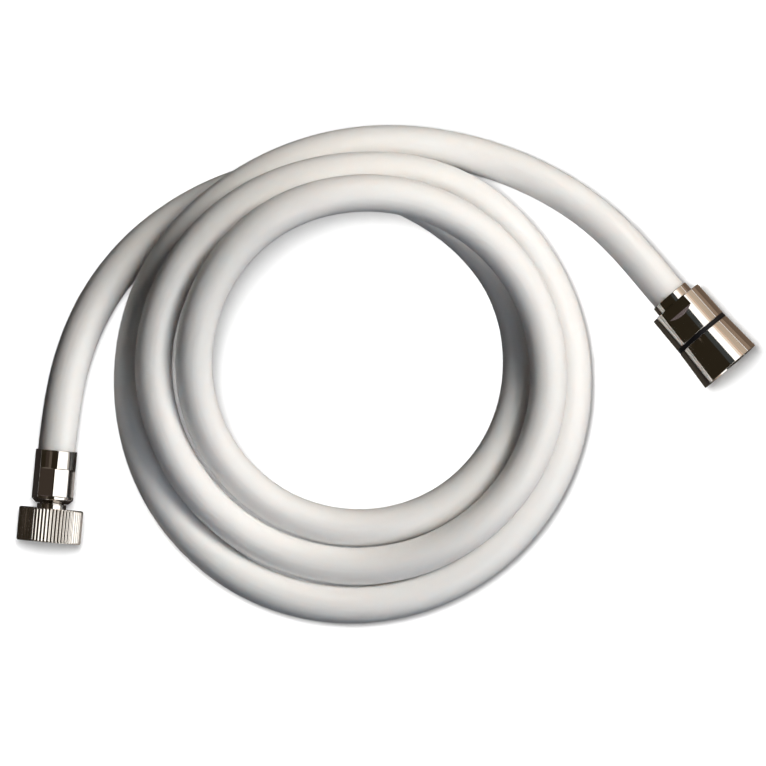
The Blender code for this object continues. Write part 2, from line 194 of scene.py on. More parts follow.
# A dark glowing card just over the paper under the object: a painted dark reflection of the ground in the
# chrome and the hose's sheen
DARK_SHEET = ("dark_sheet", "3A3532", 1.0, 0.1 * MM, [(-2.5, -0.8), (0.15, -0.11), (0.15, 0.11), (-2.5, 0.8)])

# Upright cards for painted reflections: name, colour, strength, first and last direction in degrees, foot and
# top
WALL_CARDS = [
    ("tan_wall", "C9B7A3", 1.4, 12, 90, WALL_FOOT, CEILING),
    ("grey_wall", "7E7274", 1.0, 90, 150, WALL_FOOT, CEILING),
    ("dark_wall_left", DARK, 1.0, 150, 205, WALL_FOOT, CEILING),
    ("cream_low_wall", "F8F2EC", 1.1, 205, 232, WALL_FOOT, LOW_WALL),
    ("dark_high_wall", DARK, 1.0, 205, 232, LOW_WALL, CEILING),
    ("pale_wall_near", "B9B0A6", 1.0, 232, 312, WALL_FOOT, CEILING),
    ("dark_wall_right", DARK, 1.0, 312, 342, WALL_FOOT, CEILING),
    ("low_wall_right", "918C88", 1.0, 342, 372, WALL_FOOT, WALL_BREAK),
    ("high_wall_right", "DBD6D0", 1.0, 342, 372, WALL_BREAK, CEILING),
]

# Cards on the paper beside each end, which paint reflections into the chrome: name, colour, strength, and in
# millimetres their height and their ranges across the fitting and along it
CARDS_BY_CONE = [
    ("dark_under_cone", "4A443C", 1.0, 0.2, (-12, 40), (-20, 50)),
    ("brown_by_cone", "84705F", 1.0, 0.2, (-49, -12), (-20, 50)),
    ("tan_past_cone", "B49C88", 1.0, 0.2, (-400, -49), (-150, 150)),
]
CARDS_BY_KNURL = [
    ("pale_by_knurl", "F0E4DA", 0.95, 0.3, (-70, -20), (-15, 13)),
    ("pale_by_crimp", "D0CAC6", 1.0, 0.3, (-21.6, -18.5), (16, 27)),
]

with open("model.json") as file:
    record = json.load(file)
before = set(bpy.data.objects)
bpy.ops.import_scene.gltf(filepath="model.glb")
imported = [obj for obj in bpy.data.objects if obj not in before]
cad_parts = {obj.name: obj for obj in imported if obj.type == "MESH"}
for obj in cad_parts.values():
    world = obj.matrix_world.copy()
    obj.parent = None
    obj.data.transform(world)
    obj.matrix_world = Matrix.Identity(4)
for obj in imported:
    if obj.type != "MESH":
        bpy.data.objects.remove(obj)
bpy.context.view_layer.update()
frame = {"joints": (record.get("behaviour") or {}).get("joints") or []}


def linear(hex_colour):
    """An sRGB hex colour as the linear numbers that shaders take."""
    channels = [int(hex_colour[i:i + 2], 16) / 255 for i in (0, 2, 4)]
    return tuple(c / 12.92 if c <= 0.04045 else ((c + 0.055) / 1.055) ** 2.4 for c in channels)


def add(tree, kind, settings=None, inputs=None):
    """Adds a node with its settings, and sets or links its inputs."""
    made = tree.nodes.new(kind)
    for name, value in (settings or {}).items():
        setattr(made, name, value)
    for key, value in (inputs or {}).items():
        if isinstance(value, bpy.types.NodeSocket):
            tree.links.new(value, made.inputs[key])
        else:
            made.inputs[key].default_value = value
    return made


def finish_of(name, roughness, metallic):
    """A new material: its tree and its shader, with the values that are the same all over."""
    made = bpy.data.materials.new(name)
    made.use_nodes = True
    shader = made.node_tree.nodes["Principled BSDF"]
    shader.inputs["Roughness"].default_value = roughness
    shader.inputs["Metallic"].default_value = metallic
    return made, made.node_tree, shader


def blended(tree, share, low, high):
    """A colour between two sRGB hex colours."""
    mix = add(tree, "ShaderNodeMix", {"data_type": "RGBA"}, {"Factor": share})
    mix.inputs[6].default_value = (*linear(low), 1.0)
    mix.inputs[7].default_value = (*linear(high), 1.0)
    return mix.outputs[2]


def extruded_pvc():
    """Soft plasticised PVC straight from the die: a satin warm white skin that a little light gets into.

    The eye sees a broad soft sheen, faint long lines left by the die, and a slight unevenness of tone.
    """
    made, tree, shader = finish_of("extruded_soft_pvc", 0.42, 0.0)
    shader.inputs["IOR"].default_value = 1.53
    shader.inputs["Subsurface Weight"].default_value = 1.0
    shader.inputs["Subsurface Radius"].default_value = (1.0, 0.9, 0.85)
    shader.inputs["Subsurface Scale"].default_value = 7.0 * MM
    spot = add(tree, "ShaderNodeTexCoord").outputs["Object"]
    around = add(tree, "ShaderNodeAttribute", {"attribute_name": "around"}).outputs["Vector"]
    clouds = add(tree, "ShaderNodeTexNoise", None, {"Vector": spot, "Scale": 1 / TONE_PATCH, "Detail": 2.0})
    tree.links.new(blended(tree, clouds.outputs["Fac"], "F0EEEC", "F5F3F1"), shader.inputs["Base Color"])
    die_lines = add(tree, "ShaderNodeTexNoise", None, {
        "Vector": around, "Scale": HOSE_RADIUS / DIE_LINE, "Detail": 3.0})
    grain = add(tree, "ShaderNodeTexNoise", None, {"Vector": spot, "Scale": 1 / SKIN_GRAIN, "Detail": 1.0})
    lines = add(tree, "ShaderNodeBump", None,
                {"Strength": 0.25, "Distance": 0.15 * MM, "Height": die_lines.outputs["Fac"]})
    skin = add(tree, "ShaderNodeBump", None,
               {"Strength": 0.2, "Distance": 0.03 * MM, "Height": grain.outputs["Fac"],
                "Normal": lines.outputs["Normal"]})
    tree.links.new(skin.outputs["Normal"], shader.inputs["Normal"])
    return made


def polished_chrome():
    """Bright chromium plate over polished brass: a hard mirror, slightly hazed by handling.

    The eye sees sharp bands of the surroundings, with edges softened a little where a thumb has been.
    """
    made, tree, shader = finish_of("polished_chrome_plate", 0.07, 1.0)
    spot = add(tree, "ShaderNodeTexCoord").outputs["Object"]
    haze = add(tree, "ShaderNodeTexNoise", None, {"Vector": spot, "Scale": 1 / HAZE_PATCH, "Detail": 3.0})
    tree.links.new(blended(tree, haze.outputs["Fac"], "C2BEB9", "C9C6C2"), shader.inputs["Base Color"])
    spread = add(tree, "ShaderNodeMapRange", None, {
        "Value": haze.outputs["Fac"], "From Min": 0.3, "From Max": 0.7, "To Min": 0.04, "To Max": 0.11})
    tree.links.new(spread.outputs["Result"], shader.inputs["Roughness"])
    return made


def knurled_chrome():
    """Chrome over a rolled knurl: the plate follows the small pits, so its bands break into sparkles."""
    made, tree, shader = finish_of("chrome_over_knurl", 0.12, 1.0)
    spot = add(tree, "ShaderNodeTexCoord").outputs["Object"]
    pits = add(tree, "ShaderNodeTexNoise", None, {"Vector": spot, "Scale": 1 / KNURL_PIT, "Detail": 2.0})
    tree.links.new(blended(tree, pits.outputs["Fac"], "BDB8B2", "C9C6C2"), shader.inputs["Base Color"])
    skin = add(tree, "ShaderNodeBump", None,
               {"Strength": 0.08, "Distance": 0.03 * MM, "Height": pits.outputs["Fac"]})
    tree.links.new(skin.outputs["Normal"], shader.inputs["Normal"])
    return made


def plated_thread():
    """The same plate where it is thin and unpolished, down in the socket: greyer and hazier."""
    made, tree, shader = finish_of("dull_plated_thread", 0.3, 1.0)
    spot = add(tree, "ShaderNodeTexCoord").outputs["Object"]
    stain = add(tree, "ShaderNodeTexNoise", None, {"Vector": spot, "Scale": 1 / STAIN_PATCH, "Detail": 4.0})
    tree.links.new(blended(tree, stain.outputs["Fac"], "8F8878", "B4AEA4"), shader.inputs["Base Color"])
    return made


def moulded_black():
    """Moulded black ABS: a satin skin that is a shade greyer where it is worn."""
    made, tree, shader = finish_of("moulded_black_abs", 0.5, 0.0)
    shader.inputs["IOR"].default_value = 1.28
    spot = add(tree, "ShaderNodeTexCoord").outputs["Object"]
    wear = add(tree, "ShaderNodeTexNoise", None, {"Vector": spot, "Scale": 1 / WEAR_PATCH, "Detail": 3.0})
    tree.links.new(blended(tree, wear.outputs["Fac"], "050507", "0E0E12"), shader.inputs["Base Color"])
    skin = add(tree, "ShaderNodeBump", None,
               {"Strength": 0.3, "Distance": 0.03 * MM, "Height": wear.outputs["Fac"]})
    tree.links.new(skin.outputs["Normal"], shader.inputs["Normal"])
    return made


def punched_rubber():
    """Grey rubber sheet, punched out: matt, with the sheet's fine grain."""
    made, tree, shader = finish_of("punched_grey_rubber", 0.75, 0.0)
    spot = add(tree, "ShaderNodeTexCoord").outputs["Object"]
    grain = add(tree, "ShaderNodeTexNoise", None, {"Vector": spot, "Scale": 1 / RUBBER_GRAIN, "Detail": 3.0})
    tree.links.new(blended(tree, grain.outputs["Fac"], "38383A", "545456"), shader.inputs["Base Color"])
    skin = add(tree, "ShaderNodeBump", None,
               {"Strength": 0.5, "Distance": 0.05 * MM, "Height": grain.outputs["Fac"]})
    tree.links.new(skin.outputs["Normal"], shader.inputs["Normal"])
    return made


def fitting_place(joint_name):
    """Where a fitting lies: origin at the middle of the nut's front face, +Z back towards the hose."""
    joint = next(j for j in frame["joints"] if j["name"] == joint_name)
    back = Vector(joint["axis"]).normalized()
    side = Vector((0.0, 0.0, 1.0)).cross(back).normalized()
    turn = Matrix((side, back.cross(side), back)).transposed()
    return Matrix.Translation(Vector(joint["pos_m"])) @ turn.to_4x4()


def soften(profile):
    """A turned profile of (radius, place, fillet) corners, with an arc in place of each filleted corner."""
    points = []
    count = len(profile)
    for i, (radius, place, fillet) in enumerate(profile):
        here = Vector((radius, place))
        if fillet == 0:
            points.append(here)
            continue
        into = (Vector(profile[i - 1][:2]) - here).normalized()
        out = (Vector(profile[(i + 1) % count][:2]) - here).normalized()
        half = into.angle(out) / 2
        reach = fillet / math.tan(half)
        middle = here + (into + out).normalized() * (fillet / math.sin(half))
        first = here + into * reach - middle
        last = here + out * reach - middle
        for k in range(ARC_POINTS):
            spoke = first.lerp(last, k / (ARC_POINTS - 1))
            points.append(middle + spoke.normalized() * fillet)
    return points


def turned_mesh(name, profile, steps):
    """A closed solid turned about Z from a profile that runs down its outside and back up its bore."""
    points = soften(profile)
    work = bmesh.new()
    rows = []
    for point in points:
        row = []
        for k in range(steps):
            angle = 2 * math.pi * k / steps
            row.append(work.verts.new((point.x * math.cos(angle), point.x * math.sin(angle), point.y)))
        rows.append(row)
    for i, row in enumerate(rows):
        below = rows[(i + 1) % len(rows)]
        for k in range(steps):
            after = (k + 1) % steps
            work.faces.new((row[k], below[k], below[after], row[after]))
    bmesh.ops.recalc_face_normals(work, faces=work.faces)
    mesh = bpy.data.meshes.new(name)
    work.to_mesh(mesh)
    work.free()
    return mesh


def shown(name, mesh, place, finish, body, node):
    """Puts a mesh where its fitting lies, as a piece that rides on a body and stands for a solid."""
    mesh.transform(place)
    mesh.materials.clear()
    mesh.materials.append(finish)
    mesh.shade_smooth()
    mesh.set_sharp_from_angle(angle=math.radians(SHARP_ANGLE))
    piece = bpy.data.objects.new(name, mesh)
    bpy.context.scene.collection.objects.link(piece)
    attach(piece, body)
    if node:
        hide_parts(node)
    return piece


def cut(mesh, cutter, operation):
    """One mesh cut by another, both about the fitting's own axis."""
    thing = bpy.data.objects.new("blank", mesh)
    tool = bpy.data.objects.new("cutter", cutter)
    for made in (thing, tool):
        bpy.context.scene.collection.objects.link(made)
    step = thing.modifiers.new("Cut", "BOOLEAN")
    step.operation = operation
    step.solver = "EXACT"
    step.object = tool
    done = bpy.data.meshes.new_from_object(thing.evaluated_get(bpy.context.evaluated_depsgraph_get()))
    for made in (thing, tool):
        bpy.data.objects.remove(made)
    return done


def insert_mesh(ferrule_front):
    """The stem that the nut turns on."""
    seat = ferrule_front - GAP
    tail = ferrule_front + FERRULE_BASE + GAP
    end = tail + TAIL_LENGTH
    pitch = TAIL_LENGTH / (BARB_COUNT + 1)
    root = TAIL_RADIUS - BARB_DEPTH
    profile = [(INSERT_BORE / 2, end, 0), (root, end, FINE_EDGE)]
    for k in range(BARB_COUNT):
        back = end - (k + 1) * pitch
        profile += [(TAIL_RADIUS, back, 0), (root, back - FINE_EDGE, 0)]
    profile += [(root, tail, 0), (SEAT_DIAMETER / 2, tail, 0), (SEAT_DIAMETER / 2, seat, 0),
                (NECK_DIAMETER / 2, seat, EDGE), (NECK_DIAMETER / 2, FLANGE_BACK, 0),
                (FLANGE_DIAMETER / 2, FLANGE_BACK, EDGE), (FLANGE_DIAMETER / 2, FLANGE_FRONT, EDGE),
                (INSERT_BORE / 2, FLANGE_FRONT, BORE_MOUTH)]
    return turned_mesh("insert", profile, STEM_STEPS)


def ferrule_mesh(front, collar):
    """A thin drawn cup over the end of the hose, crimped to eight flats up to its round mouth."""
    back = front + FERRULE_LENGTH
    outer = FERRULE_DIAMETER / 2
    crimped = CRIMPED_RADIUS + GAP
    mouth = outer - FERRULE_WALL
    hole = SEAT_DIAMETER / 2 + GAP
    neck_down = back - collar
    profile = [(mouth, back, LIP), (outer, back, EDGE), (outer, front + FERRULE_CHAMFER, ROUND_EDGE),
               (outer - FERRULE_CHAMFER, front, ROUND_EDGE), (hole, front, 0),
               (hole, front + FERRULE_BASE, 0), (crimped, front + FERRULE_BASE, 0), (crimped, neck_down, 0),
               (mouth, neck_down + CRIMP_SLOPE, 0)]
    cup = turned_mesh("cup", profile, SLEEVE_STEPS)
    flat = CRIMP_FLATS / 2 / math.cos(math.pi / CRIMP_SIDES)
    reach = 2 * MM  # past the sleeve, so that the cut is clean
    start = front + FERRULE_CHAMFER + CRIMP_SLOPE
    tiny = 0.01 * MM  # the cutter is turned too, so it needs a bore
    crimp = [(flat + reach, back + reach, 0), (flat + reach, back - collar, 0),
             (flat, back - collar - CRIMP_SLOPE, 0), (flat, start, 0), (flat + reach, start - CRIMP_SLOPE, 0),
             (flat + reach, front - reach, 0), (tiny, front - reach, 0), (tiny, back + reach, 0)]
    return cut(cup, turned_mesh("crimp", crimp, CRIMP_SIDES), "INTERSECT")


def washer_mesh():
    """The flat washer that lies on the insert's flange."""
    top = FLANGE_FRONT - GAP
    inner = WASHER_HOLE / 2
    outer = WASHER_DIAMETER / 2
    profile = [(inner, top, SOFT_EDGE), (outer, top, SOFT_EDGE), (outer, top - WASHER_THICKNESS, SOFT_EDGE),
               (inner, top - WASHER_THICKNESS, SOFT_EDGE)]
    return turned_mesh("washer", profile, STEM_STEPS)


def knurl_blank():
    """The knurled nut without its ribs, bored out to the thread's roots."""
    root = THREAD_MINOR / 2 + THREAD_RIDGE
    hole = NECK_DIAMETER / 2 + GAP
    body = KNURL_DIAMETER / 2 - RIB_DEPTH
    wall = FLANGE_BACK + GAP
    profile = [(hole, KNURL_LENGTH, FINE_EDGE), (body, KNURL_LENGTH, SOFT_EDGE), (body, 0, SOFT_EDGE),
               (root, 0, EDGE), (root, wall, 0), (hole, wall, 0)]
    return turned_mesh("knurl_blank", profile, 3 * KNURL_RIBS)


def cone_outside(place):
    """Outer radius of the conical nut along it: flared in front of the ring, nearly straight behind."""
    waist = CONE_LENGTH - RING_FROM_REAR
    if place < waist:
        return (CONE_FRONT_DIAMETER + (CONE_WAIST_DIAMETER - CONE_FRONT_DIAMETER) * place / waist) / 2
    share = (place - waist) / RING_FROM_REAR
    return (CONE_WAIST_DIAMETER + (CONE_REAR_DIAMETER - CONE_WAIST_DIAMETER) * share) / 2


def cone_mesh():
    """The long nut: groove for the ring, two spanner flats with sloped ends, hollow for the ferrule."""
    root = THREAD_MINOR / 2 + THREAD_RIDGE
    hole = NECK_DIAMETER / 2 + GAP
    hollow = FERRULE_DIAMETER / 2 + GAP
    wall = FLANGE_BACK + GAP
    shoulder = wall + CONE_SHOULDER
    ring_back = CONE_LENGTH - RING_FROM_REAR + RING_WIDTH / 2
    ring_front = ring_back - RING_WIDTH
    groove = cone_outside(ring_back) - RING_DEPTH
    profile = [(hollow, CONE_LENGTH, EDGE), (cone_outside(CONE_LENGTH), CONE_LENGTH, ROUND_EDGE),
               (cone_outside(ring_back), ring_back, LIP), (groove, ring_back, 0), (groove, ring_front, 0),
               (cone_outside(ring_front), ring_front, LIP), (cone_outside(0.0), 0.0, CONE_RIM),
               (root, 0.0, SOCKET_RIM), (root, wall, 0), (hole, wall, 0), (hole, shoulder, 0),
               (hollow, shoulder, 0)]
    nut = turned_mesh("cone_nut", profile, NUT_STEPS)
    lean = math.radians(SPANNER_TURN)
    for side in (0, 1):
        nut = cut(nut, spanner_cutter(lean + side * math.pi), "DIFFERENCE")
    return nut


def spanner_cutter(turn):
    """A block that mills one spanner flat and the slope at its end."""
    rise = CONE_WAIST_DIAMETER / 2
    depth = SPANNER_FLATS / 2
    foot = CONE_LENGTH - SPANNER_LENGTH
    run = rise / math.tan(math.radians(SPANNER_SLOPE))
    outline = [(foot, depth), (CONE_LENGTH + rise, depth), (CONE_LENGTH + rise, depth + rise),
               (foot - run, depth + rise)]
    work = bmesh.new()
    sides = []
    for across in (-CONE_WAIST_DIAMETER, CONE_WAIST_DIAMETER):
        sides.append([work.verts.new((across, up, along)) for along, up in outline])
    work.faces.new(sides[0])
    work.faces.new(sides[1])
    for k in range(len(outline)):
        after = (k + 1) % len(outline)
        work.faces.new((sides[0][k], sides[0][after], sides[1][after], sides[1][k]))
    bmesh.ops.recalc_face_normals(work, faces=work.faces)
    work.transform(Matrix.Rotation(-turn, 4, "Z"))
    mesh = bpy.data.meshes.new("spanner_cutter")
    work.to_mesh(mesh)
    work.free()
    return mesh


def ring_mesh():
    """The black ring in the nut's groove, level with the nut and rounded at both edges."""
    back = CONE_LENGTH - RING_FROM_REAR + RING_WIDTH / 2 - RING_SLACK
    front = back - RING_WIDTH + 2 * RING_SLACK
    outer = cone_outside(back)
    inner = outer - RING_DEPTH + GAP
    profile = [(inner, back, 0), (outer, back, SOFT_EDGE), (outer, front, SOFT_EDGE), (inner, front, 0)]
    return turned_mesh("grip_ring", profile, NUT_STEPS)


def nodes_tree(name, inputs):
    """A Geometry Nodes tree with named inputs, its group input and its output."""
    tree = bpy.data.node_groups.new(name, "GeometryNodeTree")
    tree.interface.new_socket("Geometry", in_out="INPUT", socket_type="NodeSocketGeometry")
    for label, kind in inputs:
        tree.interface.new_socket(label, in_out="INPUT", socket_type=kind)
    tree.interface.new_socket("Geometry", in_out="OUTPUT", socket_type="NodeSocketGeometry")
    return tree, add(tree, "NodeGroupInput").outputs


def grown(name, start, tree, values):
    """The plain mesh that a tree makes from a starting mesh, with the values of its named inputs."""
    thing = bpy.data.objects.new(name, start)
    bpy.context.scene.collection.objects.link(thing)
    step = thing.modifiers.new("Grown", "NODES")
    step.node_group = tree
    for item in tree.interface.items_tree:
        if item.item_type == "SOCKET" and item.in_out == "INPUT" and item.name in values:
            step[item.identifier] = values[item.name]
    done = bpy.data.meshes.new_from_object(thing.evaluated_get(bpy.context.evaluated_depsgraph_get()))
    bpy.data.objects.remove(thing)
    return done


def rib_mesh():
    """One straight rib with rolled flanks, its crest towards +X and its foot sunk in the blank."""
    root = KNURL_DIAMETER / 2 - RIB_DEPTH
    half = math.pi * root / KNURL_RIBS
    rows = []
    for share in RIB_RINGS:
        rows.append((share * RIB_CHAMFER, math.sin(share * math.pi / 2)))
    rows += [(KNURL_LENGTH - along, size) for along, size in reversed(rows)]
    work = bmesh.new()
    rings = []
    for along, size in rows:
        ring = []
        for k in range(RIB_POINTS):
            across = (2 * k / (RIB_POINTS - 1) - 1) * half
            rise = RIB_DEPTH * size * (1 + math.cos(math.pi * across / half)) / 2
            ring.append(work.verts.new((root + rise, across, along)))
        ring.append(work.verts.new((root - RIB_DEPTH, half, along)))
        ring.append(work.verts.new((root - RIB_DEPTH, -half, along)))
        rings.append(ring)
    for first, second in zip(rings, rings[1:]):
        for k in range(len(first)):
            after = (k + 1) % len(first)
            work.faces.new((first[k], first[after], second[after], second[k]))
    work.faces.new(rings[0])
    work.faces.new(rings[-1])
    bmesh.ops.recalc_face_normals(work, faces=work.faces)
    mesh = bpy.data.meshes.new("rib")
    work.to_mesh(mesh)
    work.free()
    return mesh


def ribs_tree():
    """The rib that goes in, set round the nut's axis as many times as it has ribs."""
    tree, given = nodes_tree("knurl_ribs", [("Ribs", "NodeSocketInt"), ("Finish", "NodeSocketMaterial")])
    ring = add(tree, "GeometryNodePoints", None, {"Count": given["Ribs"]})
    number = add(tree, "GeometryNodeInputIndex").outputs["Index"]
    step = add(tree, "ShaderNodeMath", {"operation": "DIVIDE"}, {0: 2 * math.pi, 1: given["Ribs"]})
    angle = add(tree, "ShaderNodeMath", {"operation": "MULTIPLY"}, {0: number, 1: step.outputs[0]})
    turn = add(tree, "ShaderNodeCombineXYZ", None, {"Z": angle.outputs[0]})
    placed = add(tree, "GeometryNodeInstanceOnPoints", None, {
        "Points": ring.outputs["Points"], "Instance": given["Geometry"],
        "Rotation": turn.outputs["Vector"]})
    real = add(tree, "GeometryNodeRealizeInstances", None, {"Geometry": placed.outputs["Instances"]})
    dressed = add(tree, "GeometryNodeSetMaterial", None,
                  {"Geometry": real.outputs["Geometry"], "Material": given["Finish"]})
    add(tree, "NodeGroupOutput", None, {"Geometry": dressed.outputs["Geometry"]})
    return tree


def thread_tree():
    """A rounded screw thread that stands in from the wall of a socket."""
    tree, given = nodes_tree("pipe_thread", [
        ("Radius", "NodeSocketFloat"), ("Pitch", "NodeSocketFloat"), ("Turns", "NodeSocketFloat"),
        ("Ridge", "NodeSocketFloat"), ("Finish", "NodeSocketMaterial")])
    height = add(tree, "ShaderNodeMath", {"operation": "MULTIPLY"}, {0: given["Pitch"], 1: given["Turns"]})
    spiral = add(tree, "GeometryNodeCurveSpiral", None, {
        "Resolution": THREAD_STEPS, "Rotations": given["Turns"], "Start Radius": given["Radius"],
        "End Radius": given["Radius"], "Height": height.outputs[0]})
    section = add(tree, "GeometryNodeCurvePrimitiveCircle", None,
                  {"Resolution": THREAD_SIDES, "Radius": given["Ridge"]})
    ridge = add(tree, "GeometryNodeCurveToMesh", None, {
        "Curve": spiral.outputs["Curve"], "Profile Curve": section.outputs["Curve"], "Fill Caps": True})
    real = add(tree, "GeometryNodeRealizeInstances", None, {"Geometry": ridge.outputs["Mesh"]})
    dressed = add(tree, "GeometryNodeSetMaterial", None,
                  {"Geometry": real.outputs["Geometry"], "Material": given["Finish"]})
    add(tree, "NodeGroupOutput", None, {"Geometry": dressed.outputs["Geometry"]})
    return tree


def hose_tree():
    """A round tube along a line of points, which keeps each point's squeeze and its place round the tube."""
    tree, given = nodes_tree("hose_tube", [
        ("Radius", "NodeSocketFloat"), ("Sides", "NodeSocketInt"), ("Finish", "NodeSocketMaterial")])
    line = add(tree, "GeometryNodeMeshToCurve", None, {"Mesh": given["Geometry"]})
    squeeze = add(tree, "GeometryNodeInputNamedAttribute", {"data_type": "FLOAT"}, {"Name": "squeeze"})
    sized = add(tree, "GeometryNodeSetCurveRadius", None,
                {"Curve": line.outputs["Curve"], "Radius": squeeze.outputs["Attribute"]})
    section = add(tree, "GeometryNodeCurvePrimitiveCircle", None,
                  {"Resolution": given["Sides"], "Radius": given["Radius"]})
    spot = add(tree, "GeometryNodeInputPosition").outputs["Position"]
    even = add(tree, "ShaderNodeVectorMath", {"operation": "NORMALIZE"}, {0: spot})
    marked = add(tree, "GeometryNodeStoreNamedAttribute", {"data_type": "FLOAT_VECTOR", "domain": "POINT"},
                 {"Geometry": section.outputs["Curve"], "Name": "around", "Value": even.outputs["Vector"]})
    tube = add(tree, "GeometryNodeCurveToMesh", None,
               {"Curve": sized.outputs["Curve"], "Profile Curve": marked.outputs["Geometry"]})
    if "Scale" in tube.inputs:
        tree.links.new(squeeze.outputs["Attribute"], tube.inputs["Scale"])
    real = add(tree, "GeometryNodeRealizeInstances", None, {"Geometry": tube.outputs["Mesh"]})
    dressed = add(tree, "GeometryNodeSetMaterial", None,
                  {"Geometry": real.outputs["Geometry"], "Material": given["Finish"]})
    add(tree, "NodeGroupOutput", None, {"Geometry": dressed.outputs["Geometry"]})
    return tree


def route_points(left, right):
    """Points of the hose's centre line, from the left ferrule's mouth to the right one's."""
    stations = list(LEFT_TAIL)
    for k, (radius, height) in enumerate(COIL_STATIONS):
        stations.append((FIRST_STATION - STATION_STEP * k, radius, height))
    stations += RIGHT_TAIL
    points = [left]
    for angle, radius, height in stations:
        turn = math.radians(angle)
        flat = Vector((radius * math.cos(turn), radius * math.sin(turn), height)) * MM
        points.append(COIL_CENTRE + flat)
    points.append(right)
    return np.array([tuple(p) for p in points])


def smooth_curve(points, first, last):
    """A curve of even bending through the points, with its direction given at both ends."""
    steps = np.linalg.norm(np.diff(points, axis=0), axis=1)
    count = len(points)
    rows = np.zeros((count, count))
    sums = np.zeros((count, 3))
    rows[0, 0] = rows[-1, -1] = 1.0
    sums[0] = first
    sums[-1] = last
    for i in range(1, count - 1):
        before, after = steps[i - 1], steps[i]
        rows[i, i - 1:i + 2] = after, 2 * (before + after), before
        rise = points[i + 1] - points[i]
        sums[i] = 3 * (after / before * (points[i] - points[i - 1]) + before / after * rise)
    slopes = np.linalg.solve(rows, sums)
    curve = []
    for i in range(count - 1):
        for u in np.arange(CURVE_STEPS) / CURVE_STEPS:
            curve.append((1 + 2 * u) * (1 - u) ** 2 * points[i] + u * (1 - u) ** 2 * steps[i] * slopes[i]
                         + u * u * (3 - 2 * u) * points[i + 1] + u * u * (u - 1) * steps[i] * slopes[i + 1])
    curve.append(points[-1])
    return np.array(curve)


def hose_line(left, right):
    """The hose's whole centre line with its squeeze at each point, from end to end inside the ferrules."""
    ends = []
    fittings = [(left, KNURL_FERRULE_FRONT, COLLAR_LENGTH), (right, CONE_FERRULE_FRONT, MOUTH_LENGTH)]
    for place, front, collar in fittings:
        mouth = front + FERRULE_LENGTH
        grip = mouth - collar
        spots = [front + FERRULE_BASE + GAP, grip, grip + CRIMP_SLOPE + GAP, mouth + MOUTH_RUN]
        ends.append([np.array(place @ Vector((0.0, 0.0, s))) for s in spots])
    route = route_points(ends[0][-1], ends[1][-1])
    first = np.array(left.to_3x3() @ Vector((0.0, 0.0, 1.0)))
    last = -np.array(right.to_3x3() @ Vector((0.0, 0.0, 1.0)))
    curve = smooth_curve(route, first, last)
    curve[:, 2] = np.maximum(curve[:, 2], HOSE_RADIUS)
    squeeze = CRIMPED_RADIUS / HOSE_RADIUS
    points = ends[0][:3] + list(curve) + ends[1][:3][::-1]
    shares = [squeeze, squeeze, 1.0] + [1.0] * len(curve) + [1.0, squeeze, squeeze]
    return np.array(points), shares


def make_hose(left, right, finish):
    """The hose: a tube with its bore."""
    points, shares = hose_line(left, right)
    line = bpy.data.meshes.new("hose_line")
    line.from_pydata([tuple(p) for p in points], [(i, i + 1) for i in range(len(points) - 1)], [])
    line.attributes.new("squeeze", "FLOAT", "POINT").data.foreach_set("value", shares)
    mesh = grown("hose_line", line, hose_tree(), {
        "Radius": HOSE_RADIUS, "Sides": HOSE_SIDES, "Finish": finish})
    piece = shown("pvc_hose", mesh, Matrix.Identity(4), finish, "hose", "hose")
    wall = piece.modifiers.new("Wall", "SOLIDIFY")
    wall.thickness = HOSE_WALL
    wall.offset = -1.0


def make_thread(name, place, finish, body):
    """The pipe thread in a nut's socket."""
    turns = (FLANGE_FRONT - WASHER_THICKNESS - GAP - THREAD_ROOM) / THREAD_PITCH
    seed = bpy.data.meshes.new("thread_seed")
    mesh = grown(name, seed, thread_tree(), {
        "Radius": THREAD_MINOR / 2 + THREAD_RIDGE, "Pitch": THREAD_PITCH, "Turns": turns,
        "Ridge": THREAD_RIDGE, "Finish": finish})
    mesh.transform(Matrix.Translation((0.0, 0.0, THREAD_START)))
    return shown(name, mesh, place, finish, body, None)


def make_left_end(place, chrome, thread, rubber):
    """The knurled nut with its ribs and thread, and what it turns on."""
    shown("left_stem", insert_mesh(KNURL_FERRULE_FRONT), place, chrome, "hose", "left_insert")
    shown("left_crimped_sleeve", ferrule_mesh(KNURL_FERRULE_FRONT, COLLAR_LENGTH), place, chrome,
          "hose", "left_ferrule")
    shown("left_seal", washer_mesh(), place, rubber, "knurled_nut", "left_washer")
    ribbed = knurled_chrome()
    shown("knurl_blank", knurl_blank(), place, ribbed, "knurled_nut", "knurled_nut")
    ribs = grown("knurl_ribs", rib_mesh(), ribs_tree(), {"Ribs": KNURL_RIBS, "Finish": ribbed})
    shown("knurl_ribs", ribs, place, ribbed, "knurled_nut", None)
    make_thread("left_thread", place, thread, "knurled_nut")


def make_right_end(place, chrome, thread, rubber, black):
    """The conical nut with its ring and thread, and what it turns on. Gives back the pieces."""
    return [
        shown("right_stem", insert_mesh(CONE_FERRULE_FRONT), place, chrome, "hose", "right_insert"),
        shown("right_crimped_sleeve", ferrule_mesh(CONE_FERRULE_FRONT, MOUTH_LENGTH), place, chrome,
              "hose", "right_ferrule"),
        shown("right_seal", washer_mesh(), place, rubber, "cone_nut", "right_washer"),
        shown("conical_nut", cone_mesh(), place, chrome, "cone_nut", "cone_nut"),
        shown("black_ring", ring_mesh(), place, black, "cone_nut", "grip_ring"),
        make_thread("right_thread", place, thread, "cone_nut"),
    ]


